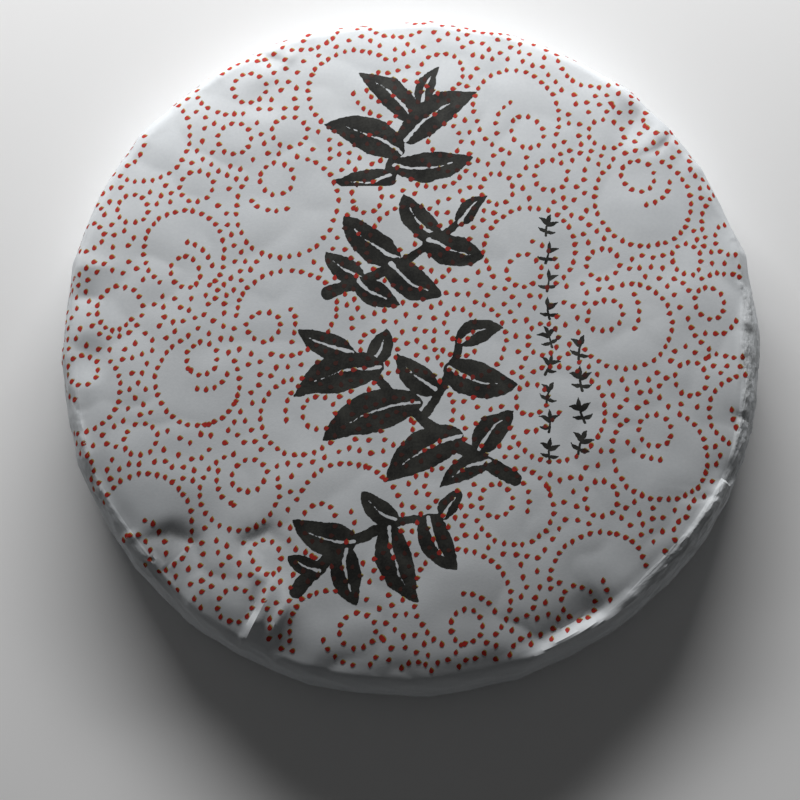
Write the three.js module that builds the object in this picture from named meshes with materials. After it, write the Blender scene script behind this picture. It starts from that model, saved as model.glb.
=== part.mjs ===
// A pressed round cake of pu erh tea, folded into one sheet of thin paper.
// It lies on its back with the printed face up. The face is a low dome, the rim a rounded wall that the
// paper crosses in short straight facets, and the back a flat ring round a pressed hollow. The paper is
// gathered behind in lapped pleats, whose fold lines run from the rim to the hollow like a pinwheel.
// Millimetres, +Z up, the print's top towards +Y, the origin under the middle of the cake.
import * as THREE from "three";

const { clamp, degToRad, lerp, smoothstep } = THREE.MathUtils;
const TURN = 2 * Math.PI;

// Driving sizes
const CAKE_RADIUS = 100;
const CAKE_HEIGHT = 24;
const RIM_HEIGHT = 18;
const SHOULDER_RADIUS = 6;
const SHOULDER_START = degToRad(13);
const WALL_BULGE = 0.4;
const HEEL_RADIUS = 7;
const HEEL_END = degToRad(160);
const HEEL_LIFT = 1;
const HEEL_SLOPE_POWER = 1.8;

// The back: a flat ring, and a hollow with the gathered ends of the paper pressed into it
const RING_OUTER = 80;
const RING_INNER = 44;
const HOLLOW_FLOOR_RADIUS = 14;
const HOLLOW_DEPTH = 10;
const KNOT_RADIUS = 9;
const KNOT_HEIGHT = 3.2;

// The pleats: how uneven their fold lines stand, how deep each dips under the next, and what share of
// that depth is left on the wall and at the end of the heel
const PLEATS = 20;
const PLEAT_UNEVENNESS = 0.2;
const PLEAT_UNEVEN_STEP = 2.4;
const PLEAT_UNEVEN_PHASE = 1.3;
const PLEAT_LAND = 0.48;
const PLEAT_STEP_SHARE = 0.04;
const PLEAT_DEPTH = 0.9;
const PLEAT_SHARE_ON_WALL = 0.15;
const PLEAT_SHARE_AT_HEEL = 0.5;
const PLEAT_SHARE_IN_HOLLOW = 1.3;

// The pinwheel: the circle that the fold lines aim at, and how far they curl on inside the hollow
const FOLD_CIRCLE = 18;
const HOLLOW_CURL = 0.7;

// Between two fold lines the paper crosses the rim straighter than the circle does
const FACET_SAG = 0.6;
const FACET_START = 0.9 * CAKE_RADIUS;

// The outline departs from a circle by these shares of the radius: waves round the rim, share, phase
const OUTLINE_WAVES = [
  { count: 3, share: 0.0057, phase: degToRad(51) },
  { count: 4, share: 0.0039, phase: degToRad(-148) },
  { count: 5, share: 0.0012, phase: degToRad(-48) },
];

// Slack in the paper over the face: broad, swaying waves that grow towards the rim
const SLACK_AT_MIDDLE = 0.1;
const SLACK_AT_RIM = 0.5;
const SLACK_ON_WALL = 0.4;
const SLACK_WAVES = [
  { along: [1, 0], reach: 9.5, sway: 1.7, swayReach: 21, phase: 0 },
  { along: [0, 1], reach: 11.5, sway: 1.3, swayReach: 17, phase: 2 },
  { along: [1, 1], reach: 14, sway: 0, swayReach: 14, phase: 4 },
];

// Crumpled facets on the wall: each is a straight-sided wave across it, slanted by lean
const CRUMPLE_DEPTH = 0.35;
const CRUMPLE_WAVES = [
  { count: 17, lean: 0.9, phase: 0.4 },
  { count: 29, lean: -1.7, phase: 2.1 },
  { count: 41, lean: 2.6, phase: 4.4 },
];

// Hollows pressed into the wrapped face: place, radius and depth
const DENTS = [
  { x: -66, y: -62, radius: 11, depth: 1.3 },
  { x: -41, y: -63, radius: 10, depth: 1.1 },
  { x: -40, y: -85, radius: 9, depth: 1.5 },
  { x: -39, y: 75, radius: 9, depth: 0.7 },
  { x: 64, y: 65, radius: 9, depth: 0.8 },
  { x: -93, y: -5, radius: 9, depth: 0.8 },
  { x: 56, y: -77, radius: 10, depth: 1.0 },
];

// Ridges where the paper is folded up, from one end to the other: height and half width
const RIDGE_SHARE_AT_ENDS = 0.4;
const RIDGES = [
  { from: [35, -92], to: [59, -78], height: 1.5, reach: 5 },
  { from: [-36, -69], to: [-48, -87], height: 1.1, reach: 4.5 },
  { from: [89, -43], to: [80, -55], height: 1.0, reach: 4.5 },
  { from: [67, 55], to: [77, 63], height: 0.7, reach: 4.5 },
  { from: [-91, 10], to: [-84, 20], height: 0.8, reach: 6 },
];

// How finely the skin is faceted: columns round a pleat, and rings along each stretch of the section
const COLUMNS_PER_PLEAT = 5;
const FACE_RINGS = 15;
const FACE_RING_SPREAD = 1.5;
const SHOULDER_RINGS = 5;
const WALL_RINGS = 2;
const HEEL_RINGS = 5;
const HEEL_SLOPE_RINGS = 3;
const RING_RINGS = 4;
const HOLLOW_RINGS = 6;
const KNOT_RINGS = 3;

// Where the face, the shoulder, the wall and the heel meet, as points of the section
const shoulderCentre = new THREE.Vector2(
  CAKE_RADIUS - WALL_BULGE - SHOULDER_RADIUS,
  RIM_HEIGHT - SHOULDER_RADIUS,
);
const faceEdge = arcPoint(shoulderCentre, SHOULDER_RADIUS, SHOULDER_START);
const heelCentre = new THREE.Vector2(
  CAKE_RADIUS - WALL_BULGE - HEEL_RADIUS,
  HEEL_RADIUS + HEEL_LIFT,
);
const heelEdge = arcPoint(heelCentre, HEEL_RADIUS, HEEL_END);

// A point of the section on an arc, turned outward from straight up.
function arcPoint(centre, radius, turn) {
  return new THREE.Vector2(
    centre.x + radius * Math.sin(turn),
    centre.y + radius * Math.cos(turn),
  );
}

// The dome leaves the shoulder's arc at the arc's own slope.
function faceHeight(r) {
  const drop = CAKE_HEIGHT - faceEdge.y;
  const power = (Math.tan(SHOULDER_START) * faceEdge.x) / drop;
  return CAKE_HEIGHT - drop * Math.pow(r / faceEdge.x, power);
}

// From the heel the back eases down to the flat ring, and inside it rises into the hollow.
function backHeight(r) {
  if (r > RING_OUTER) {
    const along = (r - RING_OUTER) / (heelEdge.x - RING_OUTER);
    return heelEdge.y * Math.pow(along, HEEL_SLOPE_POWER);
  }
  if (r > RING_INNER) return 0;
  const inward = smoothstep(RING_INNER - r, 0, RING_INNER - HOLLOW_FLOOR_RADIUS);
  const knot = (1 - clamp(r / KNOT_RADIUS, 0, 1) ** 2) ** 2;
  return HOLLOW_DEPTH * inward - KNOT_HEIGHT * knot;
}

// The skin's section, from the middle of the face over the rim to the middle of the back. For each ring
// slackShare, crumpleShare and pleatShare say how much it has of what the paper does there.
function sectionRings() {
  const rings = [];
  const add = (point, slackShare, crumpleShare, pleatShare, behind) =>
    rings.push({ r: point.x, z: point.y, slackShare, crumpleShare, pleatShare, behind });
  const addBehind = (r, pleatShare) =>
    add(new THREE.Vector2(r, backHeight(r)), 0, 0, pleatShare, true);

  for (let i = 0; i <= FACE_RINGS; i++) {
    const r = faceEdge.x * (1 - (1 - i / FACE_RINGS) ** FACE_RING_SPREAD);
    add(new THREE.Vector2(r, faceHeight(r)), 1, 0, 0, false);
  }
  for (let i = 1; i <= SHOULDER_RINGS; i++) {
    const along = i / SHOULDER_RINGS;
    const point = arcPoint(shoulderCentre, SHOULDER_RADIUS, lerp(SHOULDER_START, TURN / 4, along));
    add(point, lerp(1, SLACK_ON_WALL, along ** 2), along, 0, false);
  }
  for (let i = 1; i <= WALL_RINGS; i++) {
    const along = i / (WALL_RINGS + 1);
    const r = CAKE_RADIUS - WALL_BULGE * (1 - Math.sin(Math.PI * along));
    const point = new THREE.Vector2(r, lerp(shoulderCentre.y, heelCentre.y, along));
    add(point, SLACK_ON_WALL * (1 - along), 1, PLEAT_SHARE_ON_WALL * along, false);
  }
  for (let i = 0; i <= HEEL_RINGS; i++) {
    const along = i / HEEL_RINGS;
    const point = arcPoint(heelCentre, HEEL_RADIUS, lerp(TURN / 4, HEEL_END, along));
    add(point, 0, 1 - along, lerp(PLEAT_SHARE_ON_WALL, PLEAT_SHARE_AT_HEEL, along), false);
  }
  for (let i = 1; i <= HEEL_SLOPE_RINGS; i++) {
    const along = i / HEEL_SLOPE_RINGS;
    addBehind(lerp(heelEdge.x, RING_OUTER, along), lerp(PLEAT_SHARE_AT_HEEL, 1, along));
  }
  for (let i = 1; i <= RING_RINGS; i++) {
    addBehind(lerp(RING_OUTER, RING_INNER, i / RING_RINGS), 1);
  }
  for (let i = 1; i <= HOLLOW_RINGS; i++) {
    const along = i / HOLLOW_RINGS;
    addBehind(lerp(RING_INNER, HOLLOW_FLOOR_RADIUS, along), lerp(1, PLEAT_SHARE_IN_HOLLOW, along));
  }
  for (let i = 1; i <= KNOT_RINGS; i++) {
    const left = 1 - i / KNOT_RINGS;
    addBehind(HOLLOW_FLOOR_RADIUS * left, PLEAT_SHARE_IN_HOLLOW * left);
  }
  return rings;
}

// The section's outward direction at a ring, from its neighbours.
function outward(rings, j) {
  if (j === 0) return new THREE.Vector2(0, 1);
  if (j === rings.length - 1) return new THREE.Vector2(0, -1);
  const before = rings[j - 1];
  const after = rings[j + 1];
  return new THREE.Vector2(before.z - after.z, after.r - before.r).normalize();
}

// Fold lines stand at uneven angles, with one pleat from each to the next.
function foldAngle(k) {
  const sway = Math.sin(PLEAT_UNEVEN_STEP * (k % PLEATS) ** 2 + PLEAT_UNEVEN_PHASE);
  return (TURN / PLEATS) * (k + PLEAT_UNEVENNESS * sway);
}

// Behind the heel a fold line runs straight, as if to touch the fold circle, so its angle turns with
// radius. Over the edge of the hollow it starts at the same slope and then curls in faster.
function pinwheelTurn(r) {
  const straight = Math.max(r, RING_INNER);
  const turn = Math.acos(FOLD_CIRCLE / straight) - Math.acos(FOLD_CIRCLE / heelEdge.x);
  const inside = straight - r;
  const slope = FOLD_CIRCLE / (RING_INNER * Math.sqrt(RING_INNER ** 2 - FOLD_CIRCLE ** 2));
  return turn - slope * inside - HOLLOW_CURL * (inside / RING_INNER) ** 2;
}

// A pleat lies flat from its fold edge and then dips under the next pleat's edge.
function pleatDip(u) {
  return PLEAT_DEPTH * smoothstep(u, PLEAT_LAND, 1);
}

// How far the straight crossing between two fold lines falls inside the rim's curve.
function facetDip(u, r) {
  return FACET_SAG * 4 * u * (1 - u) * smoothstep(r, FACET_START, CAKE_RADIUS);
}

function outlineShare(angle) {
  return OUTLINE_WAVES.reduce(
    (sum, wave) => sum + wave.share * Math.cos(wave.count * angle - wave.phase),
    0,
  );
}

function slack(x, y) {
  const far = Math.hypot(x, y) / CAKE_RADIUS;
  const waves = SLACK_WAVES.reduce((sum, { along, reach, sway, swayReach, phase }) => {
    const run = (x * along[0] + y * along[1]) / reach;
    const side = (y * along[0] + x * along[1]) / swayReach;
    return sum + Math.sin(run + sway * Math.sin(side) + phase);
  }, 0);
  return (lerp(SLACK_AT_MIDDLE, SLACK_AT_RIM, far ** 3) * waves) / SLACK_WAVES.length;
}

// A wave with straight sides and sharp turns, between -1 and 1.
function foldedWave(phase) {
  const turns = phase / TURN;
  return 4 * Math.abs(turns - Math.floor(turns + 0.5)) - 1;
}

function crumple(angle, height) {
  const waves = CRUMPLE_WAVES.reduce(
    (sum, wave) => sum + foldedWave(wave.count * angle + wave.lean * height + wave.phase),
    0,
  );
  return (CRUMPLE_DEPTH * waves) / CRUMPLE_WAVES.length;
}

function dentDepth(x, y) {
  return DENTS.reduce((sum, dent) => {
    const far = Math.hypot(x - dent.x, y - dent.y) / dent.radius;
    return far < 1 ? sum + dent.depth * (1 - far ** 2) ** 2 : sum;
  }, 0);
}

function ridgeHeight(x, y) {
  return RIDGES.reduce((sum, ridge) => {
    const dx = ridge.to[0] - ridge.from[0];
    const dy = ridge.to[1] - ridge.from[1];
    const run = ((x - ridge.from[0]) * dx + (y - ridge.from[1]) * dy) / (dx * dx + dy * dy);
    const near = clamp(run, 0, 1);
    const off = Math.hypot(x - ridge.from[0] - near * dx, y - ridge.from[1] - near * dy);
    const crest = lerp(RIDGE_SHARE_AT_ENDS, 1, Math.sin(Math.PI * near));
    return sum + ridge.height * crest * Math.max(0, 1 - off / ridge.reach);
  }, 0);
}

// One point of the skin: column c of pleat k, on ring j.
function skinPoint(rings, j, k, c) {
  const { r, z, slackShare, crumpleShare, pleatShare, behind } = rings[j];
  const u = (c / (COLUMNS_PER_PLEAT - 1)) * (1 - PLEAT_STEP_SHARE);
  const angle = lerp(foldAngle(k), foldAngle(k + 1), u) + (behind ? pinwheelTurn(r) : 0);
  const x = r * Math.cos(angle);
  const y = r * Math.sin(angle);
  const lift =
    slackShare * (slack(x, y) + ridgeHeight(x, y) - dentDepth(x, y)) +
    crumpleShare * crumple(angle, z) -
    pleatShare * pleatDip(u) -
    facetDip(u, r);

  const out = outward(rings, j);
  const radius = r * (1 + outlineShare(angle) * (r / CAKE_RADIUS) ** 2) + lift * out.x;
  return new THREE.Vector3(radius * Math.cos(angle), radius * Math.sin(angle), z + lift * out.y);
}

function wrappedCakeGeometry() {
  const rings = sectionRings();
  const last = rings.length - 1;
  const points = [skinPoint(rings, 0, 0, 0)];
  for (let j = 1; j < last; j++) {
    for (let k = 0; k < PLEATS; k++) {
      for (let c = 0; c < COLUMNS_PER_PLEAT; c++) points.push(skinPoint(rings, j, k, c));
    }
  }
  points.push(skinPoint(rings, last, 0, 0));

  const columns = PLEATS * COLUMNS_PER_PLEAT;
  const at = (j, i) => 1 + (j - 1) * columns + (i % columns);
  const triangles = [];
  for (let i = 0; i < columns; i++) {
    triangles.push(0, at(1, i), at(1, i + 1));
    for (let j = 1; j < last - 1; j++) {
      triangles.push(at(j, i), at(j + 1, i), at(j + 1, i + 1));
      triangles.push(at(j, i), at(j + 1, i + 1), at(j, i + 1));
    }
    triangles.push(at(last - 1, i), points.length - 1, at(last - 1, i + 1));
  }

  const geometry = new THREE.BufferGeometry().setFromPoints(points);
  geometry.setIndex(triangles);
  geometry.computeBoundingBox();
  const middle = geometry.boundingBox.getCenter(new THREE.Vector3());
  geometry.translate(-middle.x, -middle.y, -geometry.boundingBox.min.z);
  geometry.computeVertexNormals();
  return geometry;
}

const wrappingPaper = new THREE.MeshStandardMaterial({
  color: 0xc6cacd,
  roughness: 0.5,
  metalness: 0,
});
const wrappedCake = new THREE.Mesh(wrappedCakeGeometry(), wrappingPaper);
wrappedCake.name = "wrapped_tea_cake";

const teaCake = new THREE.Group();
teaCake.add(wrappedCake);

export default teaCake;
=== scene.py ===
# %% [markdown]
# # A tea cake in its paper wrapper
# A pressed cake of pu erh tea is a round, flat stone of leaves, folded into one sheet of thin printed paper.
# The wrapper is shut, so everything we see is paper: smooth over a low dome, crinkled where it turns round
# the rim, and lapped behind in pleats that meet in a hollow. This lesson makes the sheet as one mesh from a
# few sizes, lets Geometry Nodes crumple it and lay the print on it, and ends with the paper and the inks.

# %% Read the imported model
import math

import bpy
import numpy as np
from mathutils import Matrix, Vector


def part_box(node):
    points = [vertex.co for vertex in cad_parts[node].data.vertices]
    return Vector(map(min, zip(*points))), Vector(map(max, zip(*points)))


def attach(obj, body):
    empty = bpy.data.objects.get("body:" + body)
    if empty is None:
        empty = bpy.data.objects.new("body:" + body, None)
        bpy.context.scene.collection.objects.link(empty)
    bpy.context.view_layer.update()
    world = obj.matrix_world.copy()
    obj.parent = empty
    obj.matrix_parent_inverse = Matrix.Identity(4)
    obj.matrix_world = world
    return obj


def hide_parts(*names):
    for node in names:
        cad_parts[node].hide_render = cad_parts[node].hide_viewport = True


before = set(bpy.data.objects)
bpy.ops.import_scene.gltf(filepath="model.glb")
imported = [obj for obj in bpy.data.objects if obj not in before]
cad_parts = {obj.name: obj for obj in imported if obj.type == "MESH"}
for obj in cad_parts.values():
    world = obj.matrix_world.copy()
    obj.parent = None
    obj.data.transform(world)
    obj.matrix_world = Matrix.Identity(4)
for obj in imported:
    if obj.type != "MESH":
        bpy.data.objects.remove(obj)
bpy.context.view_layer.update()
MM = 0.001
CAKE = "wrapped_tea_cake"
cake_low, cake_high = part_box(CAKE)
cake_size = (cake_high - cake_low) / MM
print(f"The cake's solid measures {cake_size.x:.1f} x {cake_size.y:.1f} x {cake_size.z:.1f} mm")

# %% [markdown]
# ## The view
# The cake lies on its back and we look down on it, a little from below the print, so the near wall of the
# rim shows. A long lens from over a metre away keeps the circle from looking stretched. The camera could be
# aimed by a constraint, but one turn about X is all it needs, and numbers are easier to check.

# %% The camera
TURN = 2 * math.pi
VIEW_TILT = math.radians(14.6)
VIEW_DISTANCE = 1.15
VIEW_LENS = 180.6
SENSOR_WIDTH = 36.0
AIM_RIGHT = -3.1 * MM
AIM_UP = -13.3 * MM
AIM_HEIGHT = 10 * MM
NEAREST_SEEN = 0.05
FARTHEST_SEEN = 20

view_back = Vector((0, -math.sin(VIEW_TILT), math.cos(VIEW_TILT)))
view_up = Vector((0, math.cos(VIEW_TILT), math.sin(VIEW_TILT)))
aim = Vector((AIM_RIGHT, 0, AIM_HEIGHT)) + view_up * AIM_UP
camera_data = bpy.data.cameras.new("camera")
camera_data.lens = VIEW_LENS
camera_data.sensor_width = SENSOR_WIDTH
camera_data.clip_start = NEAREST_SEEN
camera_data.clip_end = FARTHEST_SEEN
camera = bpy.data.objects.new("camera", camera_data)
camera.location = aim + view_back * VIEW_DISTANCE
camera.rotation_euler = (VIEW_TILT, 0, 0)
bpy.context.collection.objects.link(camera)
bpy.context.scene.camera = camera
print(f"The camera looks down from {camera.location.z:.2f} m")

# %% [markdown]
# ## Nodes in short
# Materials and Geometry Nodes are both trees of nodes, and a script that names every socket twice is tiring
# to read. A few small helpers make one node in one line: its settings by name, and its inputs by name or
# number, each either a plain value or the output of another node.

# %% Helpers for nodes
def add(tree, kind, inputs=None, **settings):
    made = tree.nodes.new(kind)
    for name, value in settings.items():
        setattr(made, name, value)
    for name, value in (inputs or {}).items():
        if isinstance(value, bpy.types.NodeSocket):
            tree.links.new(value, made.inputs[name])
        else:
            made.inputs[name].default_value = value
    return made


def maths(tree, operation, *values):
    return add(tree, "ShaderNodeMath", dict(enumerate(values)), operation=operation).outputs[0]


def vectors(tree, operation, *values, out="Vector", **more):
    inputs = {**dict(enumerate(values)), **more}
    return add(tree, "ShaderNodeVectorMath", inputs, operation=operation).outputs[out]


def new_geometry_tree(name, inputs):
    """A tree with one named input for each (name, socket kind, default), what it is given and its end."""
    tree = bpy.data.node_groups.new(name, "GeometryNodeTree")
    face = tree.interface
    face.new_socket("Geometry", in_out="INPUT", socket_type="NodeSocketGeometry")
    for label, kind, default in inputs:
        socket = face.new_socket(label, in_out="INPUT", socket_type=kind)
        if default is not None:
            socket.default_value = default
    face.new_socket("Geometry", in_out="OUTPUT", socket_type="NodeSocketGeometry")
    return tree, tree.nodes.new("NodeGroupInput").outputs, tree.nodes.new("NodeGroupOutput").inputs


def apply_tree(piece, tree, values):
    """Run a tree on a piece and keep the result as its plain mesh."""
    modifier = piece.modifiers.new(tree.name, "NODES")
    modifier.node_group = tree
    for item in tree.interface.items_tree:
        if item.item_type == "SOCKET" and item.in_out == "INPUT" and item.name in values:
            modifier[item.identifier] = values[item.name]
    depsgraph = bpy.context.evaluated_depsgraph_get()
    made = bpy.data.meshes.new_from_object(
        piece.evaluated_get(depsgraph), preserve_all_data_layers=True, depsgraph=depsgraph
    )
    piece.modifiers.remove(modifier)
    piece.data = made
    return made


def new_piece(name, points, faces, attributes=()):
    """A mesh object from points in millimetres, with named values on its points."""
    mesh = bpy.data.meshes.new(name)
    mesh.from_pydata((np.asarray(points) * MM).tolist(), [], faces)
    for label, values in dict(attributes).items():
        values = np.asarray(values, dtype=np.float32)
        kind, key = ("FLOAT", "value") if values.ndim == 1 else ("FLOAT_VECTOR", "vector")
        mesh.attributes.new(label, kind, "POINT").data.foreach_set(key, values.ravel())
    mesh.update()
    piece = bpy.data.objects.new(name, mesh)
    bpy.context.collection.objects.link(piece)
    return piece


print("The helpers are ready")

# %% [markdown]
# ## The section of the cake
# Cut through the middle, a wrapped cake is a low dome, a rounded shoulder, a short wall, a rounded heel and
# a flat ring round a pressed hollow. A lathe would turn that section into a perfect and rather dead shape,
# so we keep it as a list of rings instead: each ring knows its place, and how much of every fold it takes.

# %% Sizes of the section, in millimetres
CAKE_RADIUS = 100
CAKE_HEIGHT = 24
RIM_HEIGHT = 18
SHOULDER_RADIUS = 4.8
SHOULDER_START = math.radians(13)
WALL_BULGE = 0.4
HEEL_RADIUS = 7
HEEL_END = math.radians(160)
HEEL_LIFT = 1
HEEL_SLOPE_POWER = 1.8
RING_OUTER = 80
RING_INNER = 44
HOLLOW_FLOOR_RADIUS = 14
HOLLOW_DEPTH = 10
KNOT_RADIUS = 9
KNOT_HEIGHT = 3.2


def arc_point(centre, radius, turn):
    return centre[0] + radius * math.sin(turn), centre[1] + radius * math.cos(turn)


def mix(low, high, share):
    return low + (high - low) * share


def ease(value, start, end):
    share = np.clip((value - start) / (end - start), 0, 1)
    return share * share * (3 - 2 * share)


shoulder_centre = (CAKE_RADIUS - WALL_BULGE - SHOULDER_RADIUS, RIM_HEIGHT - SHOULDER_RADIUS)
face_edge = arc_point(shoulder_centre, SHOULDER_RADIUS, SHOULDER_START)
heel_centre = (CAKE_RADIUS - WALL_BULGE - HEEL_RADIUS, HEEL_RADIUS + HEEL_LIFT)
heel_edge = arc_point(heel_centre, HEEL_RADIUS, HEEL_END)


def face_height(r):
    drop = CAKE_HEIGHT - face_edge[1]
    power = math.tan(SHOULDER_START) * face_edge[0] / drop
    return CAKE_HEIGHT - drop * (r / face_edge[0]) ** power


def back_height(r):
    if r > RING_OUTER:
        return heel_edge[1] * ((r - RING_OUTER) / (heel_edge[0] - RING_OUTER)) ** HEEL_SLOPE_POWER
    if r > RING_INNER:
        return 0.0
    inward = ease(RING_INNER - r, 0, RING_INNER - HOLLOW_FLOOR_RADIUS)
    knot = (1 - min(r / KNOT_RADIUS, 1) ** 2) ** 2
    return HOLLOW_DEPTH * inward - KNOT_HEIGHT * knot


print(f"The face ends {face_edge[0]:.1f} mm from the middle, {face_edge[1]:.1f} mm up")

# %% [markdown]
# ## Rings, finer where the paper is busier
# The rim carries all the small crinkles and the middle of the face hardly any, so a mesh of even quality
# would waste most of its faces. Each ring here says how many columns it has in one pleat: 40 near the rim,
# 20 and then 10 towards the two poles. Each ring also carries its share of slack, crumple and pleating.
# A stretch of the section is its two radii, its rings and their columns; behind, also its pleats' depth at
# both ends.

# %% Rings from the middle of the face to the middle of the back
PLEATS = 20
FINE, MEDIUM, COARSE = 40, 20, 10
COARSE_RADIUS = 15
MEDIUM_RADIUS = 36
FACE_MEDIUM_RADIUS = 62
CRISP_RADIUS = 84
SHOULDER_RINGS = 12
WALL_RINGS = 6
HEEL_RINGS = 13
SLACK_ON_WALL = 0.4
PLEAT_SHARE_ON_WALL = 0.15
PLEAT_SHARE_AT_HEEL = 0.5
PLEAT_SHARE_IN_HOLLOW = 1.3
FACE_STRETCHES = [
    (0, COARSE_RADIUS, 9, COARSE),
    (COARSE_RADIUS, FACE_MEDIUM_RADIUS, 35, MEDIUM),
    (FACE_MEDIUM_RADIUS, CRISP_RADIUS, 19, FINE),
    (CRISP_RADIUS, face_edge[0], 13, FINE),
]
BACK_STRETCHES = [
    (heel_edge[0], RING_OUTER, 8, FINE, PLEAT_SHARE_AT_HEEL, 1),
    (RING_OUTER, RING_INNER, 14, FINE, 1, 1),
    (RING_INNER, MEDIUM_RADIUS, 5, FINE, 1, 1),
    (MEDIUM_RADIUS, HOLLOW_FLOOR_RADIUS, 12, MEDIUM, 1, PLEAT_SHARE_IN_HOLLOW),
    (HOLLOW_FLOOR_RADIUS, 0, 10, COARSE, PLEAT_SHARE_IN_HOLLOW, 0),
]
rings = []


def add_ring(point, columns, slack=0.0, crumple=0.0, pleat=0.0, behind=False):
    rings.append(dict(r=point[0], z=point[1], columns=columns, slack=slack, crumple=crumple,
                      pleat=pleat, behind=behind))


add_ring((0, CAKE_HEIGHT), COARSE, slack=1.0)
for start, end, count, columns in FACE_STRETCHES:
    for r in np.linspace(start, end, count + 1)[1:]:
        add_ring((r, face_height(r)), columns, slack=1.0)
for share in np.linspace(0, 1, SHOULDER_RINGS + 1)[1:]:
    turn = mix(SHOULDER_START, TURN / 4, share)
    add_ring(arc_point(shoulder_centre, SHOULDER_RADIUS, turn), FINE,
             slack=mix(1, SLACK_ON_WALL, share ** 2), crumple=share)
for share in np.linspace(0, 1, WALL_RINGS + 2)[1:-1]:
    r = CAKE_RADIUS - WALL_BULGE * (1 - math.sin(math.pi * share))
    add_ring((r, mix(shoulder_centre[1], heel_centre[1], share)), FINE,
             slack=SLACK_ON_WALL * (1 - share), crumple=1.0, pleat=PLEAT_SHARE_ON_WALL * share)
for share in np.linspace(0, 1, HEEL_RINGS):
    turn = mix(TURN / 4, HEEL_END, share)
    add_ring(arc_point(heel_centre, HEEL_RADIUS, turn), FINE,
             crumple=1 - share, pleat=mix(PLEAT_SHARE_ON_WALL, PLEAT_SHARE_AT_HEEL, share))
for start, end, count, columns, pleat_start, pleat_end in BACK_STRETCHES:
    for share in np.linspace(0, 1, count + 1)[1:]:
        r = mix(start, end, share)
        add_ring((r, back_height(r)), columns, pleat=mix(pleat_start, pleat_end, share), behind=True)
print(f"{len(rings)} rings make the section")

# %% [markdown]
# ## Pleats, slack and dents
# Behind, the sheet is gathered in lapped pleats. A pleat lies flat from its fold and then dips under the
# next one, and its fold line runs from the rim towards a small circle, so the whole back turns like a
# pinwheel. On the face the paper is slack in broad shallow waves, pressed in here and folded up there.
# Sculpting these would do, but formulas keep every fold in a place that we can name and move.

# %% The folds as formulas
PLEAT_UNEVENNESS = 0.2
PLEAT_UNEVEN_STEP = 2.4
PLEAT_UNEVEN_PHASE = 1.3
PLEAT_LAND = 0.48
PLEAT_STEP_SHARE = 0.04
PLEAT_DEPTH = 0.9
PLEAT_DEPTH_SWAY = 0.35
FOLD_CIRCLE = 18
HOLLOW_CURL = 0.7
FACET_SAG = 0.6
FACET_START = 0.9 * CAKE_RADIUS
OUTLINE_WAVES = [(3, 0.0057, math.radians(51)), (4, 0.0039, math.radians(-148)),
                 (5, 0.0012, math.radians(-48))]
SLACK_AT_MIDDLE = 0.1
SLACK_AT_RIM = 0.5
SLACK_WAVES = [((1, 0), 9.5, 1.7, 21, 0), ((0, 1), 11.5, 1.3, 17, 2), ((1, 1), 14, 0, 1, 4)]
CRUMPLE_DEPTH = 0.35
CRUMPLE_WAVES = [(17, 0.9, 0.4), (29, -1.7, 2.1), (41, 2.6, 4.4)]
DENTS = [(-66, -62, 12, 0.8), (-41, -63, 11, 0.6), (-43, -88, 8, 1.3), (-42, 72, 8, 0.45),
         (65, 65, 9, 0.9), (-93, -5, 9, 0.8), (52, -79, 10, 0.5), (-69, -79, 21, 1.6)]
CREASE_SHARE_AT_ENDS = 0.3
CREST_ROUNDING = 0.5
CREASES = [
    ([(33, -92), (41, -87), (49, -83), (59, -78)], 1.55, 1.3, 1.5),
    ([(36, -86), (43, -82.5), (50.5, -78.5), (55, -76)], -1.35, 6, 3),
    ([(-39, -71), (-41.5, -78), (-45, -84), (-50.5, -89)], 1.25, 1.9, 1.0),
    ([(-35, -72), (-34.5, -76), (-37, -81), (-42.5, -88)], 0.85, 1.8, 1.1),
    ([(-43, -70), (-43.5, -77), (-47, -83)], -0.9, 1.4, 3),
    ([(-76.5, -57), (-67, -55), (-60.5, -58), (-57.5, -67)], -1.15, 3.0, 7),
    ([(-47.5, -64), (-46.5, -58.5), (-40, -55.5), (-35, -59)], -0.85, 2.6, 5),
    ([(-43.5, -66.5), (-39, -69)], 0.5, 0.9, 1.5),
    ([(-82, -57), (-76.5, -55.5)], 0.6, 0.9, 2),
    ([(-36.5, -91), (-39, -93)], 0.6, 1.2, 1.2),
    ([(84, -43), (89.5, -43.5), (85, -48.5), (80.5, -54)], 0.85, 1.9, 4),
    ([(-44, 88.5), (-40, 86), (-35, 84)], -0.6, 0.9, 2),
    ([(-37, 82), (-32.5, 88.5)], 0.6, 2.5, 1.3),
    ([(69, 64), (74, 60)], 0.6, 2.5, 2.5),
    ([(66, 55.5), (71.5, 58), (76.5, 64)], -0.5, 0.9, 1.2),
    ([(-98, 23.5), (-84, 22.5)], 0.8, 5, 5),
    ([(-97.5, 14.5), (-88, 13.5)], -0.8, 4, 4),
    ([(97.5, 16.5), (94.5, 2), (92.5, -20)], 0.5, 1.2, 1.0),
    ([(94.5, 4.5), (98.5, 3.5)], -0.6, 0.9, 0.9),
    ([(92.5, -20.5), (97, -22.5)], -0.7, 0.9, 0.9),
]


def fold_angle(k):
    sway = np.sin(PLEAT_UNEVEN_STEP * (k % PLEATS) ** 2 + PLEAT_UNEVEN_PHASE)
    return TURN / PLEATS * (k + PLEAT_UNEVENNESS * sway)


def pinwheel_turn(r):
    straight = max(r, RING_INNER)
    turn = math.acos(FOLD_CIRCLE / straight) - math.acos(FOLD_CIRCLE / heel_edge[0])
    slope = FOLD_CIRCLE / (RING_INNER * math.sqrt(RING_INNER ** 2 - FOLD_CIRCLE ** 2))
    inside = straight - r
    return turn - slope * inside - HOLLOW_CURL * (inside / RING_INNER) ** 2


def outline_share(angle):
    return sum(share * np.cos(count * angle - phase) for count, share, phase in OUTLINE_WAVES)


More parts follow.
